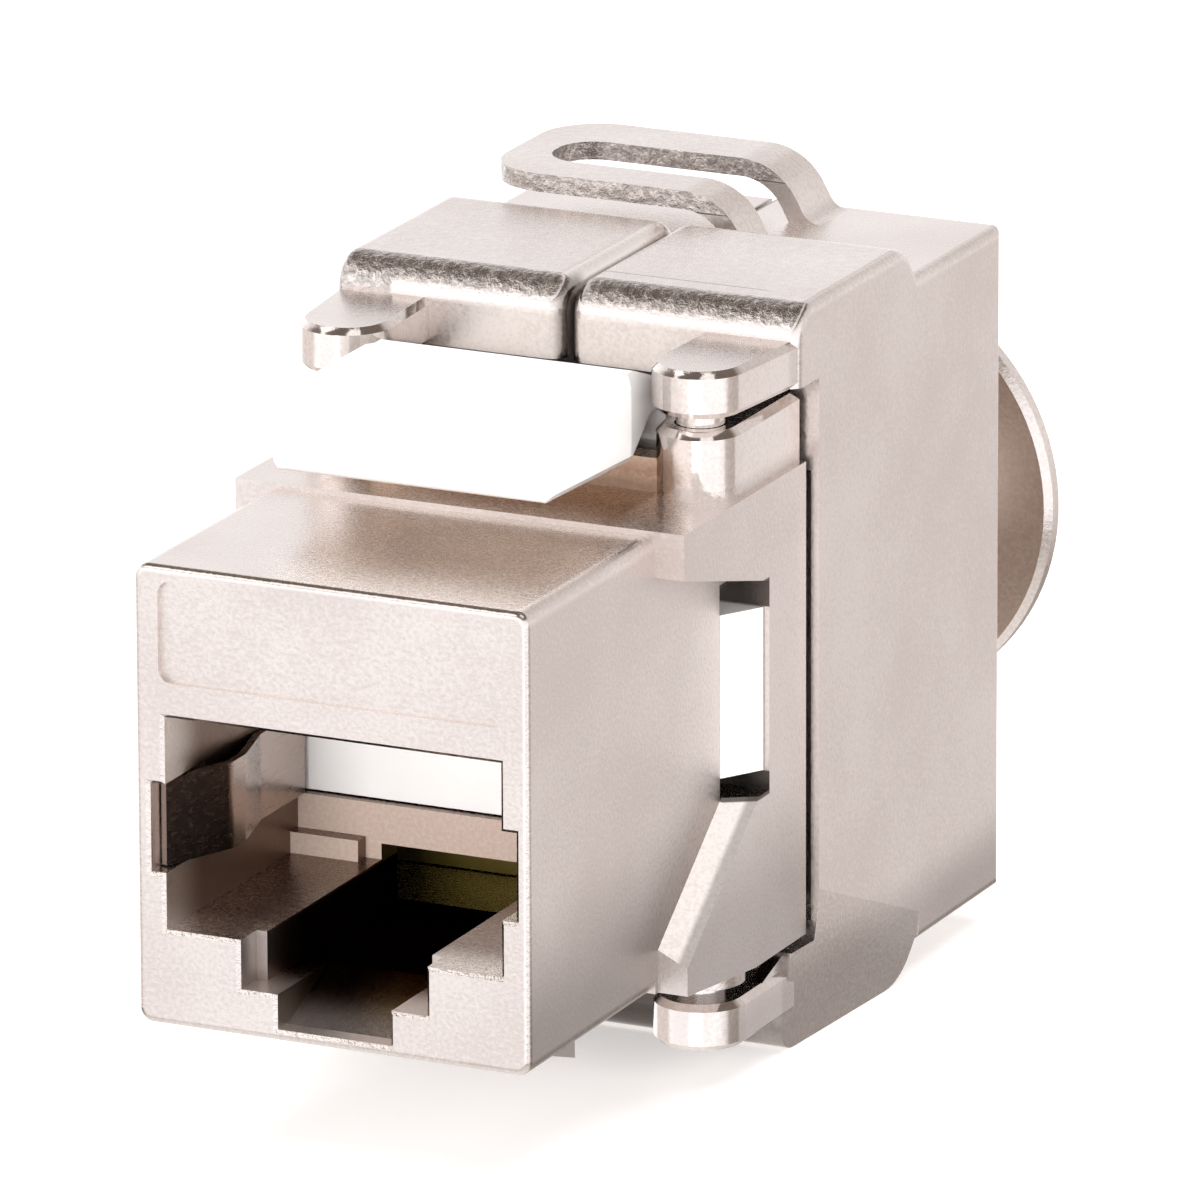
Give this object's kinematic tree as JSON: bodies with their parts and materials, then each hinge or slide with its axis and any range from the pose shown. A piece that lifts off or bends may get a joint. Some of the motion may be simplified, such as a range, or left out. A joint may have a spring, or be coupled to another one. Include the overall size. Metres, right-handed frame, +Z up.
{
  "type": "ethernet wall socket",
  "caption": "Shielded snap-in network socket: cast metal block with a plug port and panel latch, hinged rear doors that close around the cable, and a strap loop.",
  "frame": {"origin": "centre of the front face, in the plane of the plug port's mouth", "axes": "+Y from the front face back to the cable, +X to the right of someone facing the port, +Z up towards the panel latch"},
  "size_m": [0.0174, 0.0422, 0.0273],
  "materials": {
    "plated_zinc": "satin nickel plate on cast zinc, fine grain, bright on the narrow bevels",
    "white_plastic": "glossy moulded",
    "terminal_plastic": "satin moulded",
    "board_laminate": "satin solder mask",
    "gold_plate": "polished plate",
    "tin_plate": "satin tin plate",
    "spring_steel": "rolled sheet"
  },
  "bodies": {
    "housing": {"front_housing": "plated_zinc", "contact_insert": "white_plastic", "circuit_board": "board_laminate", "idc_block_upper": "terminal_plastic", "idc_block_lower": "terminal_plastic", "wire_cap": "white_plastic", "shield_spring_left": "spring_steel", "shield_spring_right": "spring_steel", "contact_1": "gold_plate", "contact_2": "gold_plate", "contact_3": "gold_plate", "contact_4": "gold_plate", "contact_5": "gold_plate", "contact_6": "gold_plate", "contact_7": "gold_plate", "contact_8": "gold_plate", "idc_blade_1": "tin_plate", "idc_blade_2": "tin_plate", "idc_blade_3": "tin_plate", "idc_blade_4": "tin_plate", "idc_blade_5": "tin_plate", "idc_blade_6": "tin_plate", "idc_blade_7": "tin_plate", "idc_blade_8": "tin_plate"},
    "left_door": {"left_door": "plated_zinc"},
    "right_door": {"right_door": "plated_zinc"},
    "panel_latch": {"panel_latch": "white_plastic"}
  },
  "joints": [
    {"name": "left_door_hinge", "type": "hinge", "parent": "housing", "child": "left_door", "pos_m": [-0.0066, 0.0149, 0.0006], "axis": [0, 0, 1], "range_deg": [0, 100]},
    {"name": "right_door_hinge", "type": "hinge", "parent": "housing", "child": "right_door", "pos_m": [0.0066, 0.0149, 0.0006], "axis": [0, 0, -1], "range_deg": [0, 100]},
    {"name": "panel_latch_flex", "type": "hinge", "parent": "housing", "child": "panel_latch", "pos_m": [0, 0.0171, 0.00945], "axis": [1, 0, 0], "range_deg": [0, 7], "stiffness_Nm_per_rad": 0.3}
  ]
}
